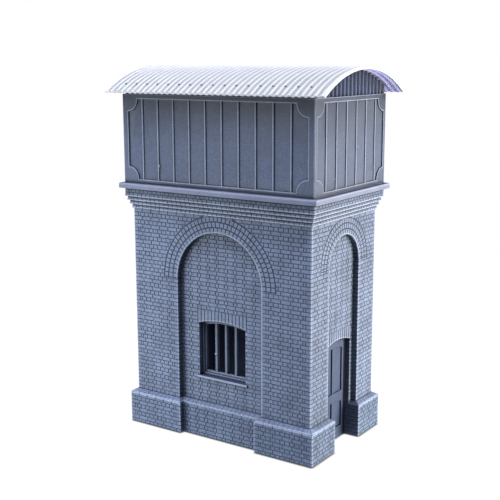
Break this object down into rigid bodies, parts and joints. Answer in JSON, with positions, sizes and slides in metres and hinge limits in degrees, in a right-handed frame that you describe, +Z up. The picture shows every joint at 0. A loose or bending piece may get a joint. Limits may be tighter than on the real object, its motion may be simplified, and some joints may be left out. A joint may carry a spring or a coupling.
{
  "type": "scale model of a brick water tower",
  "caption": "Scale model of a brick water tower: arched recesses, barred window, panelled door, corbelled cornice, iron tank and curved corrugated roof.",
  "frame": {"origin": "centre of the base on the ground", "axes": "+Z up, +X along the long sides towards the doorway end, -Y towards the front"},
  "size_m": [0.0676, 0.0422, 0.0994],
  "materials": {
    "brick_resin": "blue-grey printed resin, matt, with brick joints",
    "tank_resin": "blue-grey printed resin, satin, smooth panels",
    "joinery_resin": "blue-grey printed resin, satin",
    "roof_resin": "pale lilac-grey printed resin, satin, corrugated"
  },
  "bodies": {
    "root": {"plinth_front_left": "brick_resin", "plinth_front_right": "brick_resin", "plinth_back_left": "brick_resin", "plinth_back_right": "brick_resin", "plinth_front": "brick_resin", "plinth_back": "brick_resin", "plinth_left": "brick_resin", "pier_front_left": "brick_resin", "pier_front_right": "brick_resin", "pier_back_left": "brick_resin", "pier_back_right": "brick_resin", "wall_front": "brick_resin", "wall_back": "brick_resin", "wall_left": "brick_resin", "wall_right": "brick_resin", "arch_front": "brick_resin", "arch_back": "brick_resin", "arch_left": "brick_resin", "arch_right": "brick_resin", "corbel_1": "brick_resin", "corbel_2": "brick_resin", "corbel_3": "brick_resin", "corbel_4": "brick_resin", "window_sill_front": "joinery_resin", "window_sill_back": "joinery_resin", "window_frame_front": "joinery_resin", "window_frame_back": "joinery_resin", "door_frame": "joinery_resin", "door_leaf": "joinery_resin", "cornice_slab": "roof_resin", "tank_front": "tank_resin", "tank_back": "tank_resin", "tank_left": "tank_resin", "tank_right": "tank_resin", "wall_plate_front": "roof_resin", "wall_plate_back": "roof_resin", "gable_left": "tank_resin", "gable_right": "tank_resin", "roof_sheet": "roof_resin"}
  },
  "joints": []
}
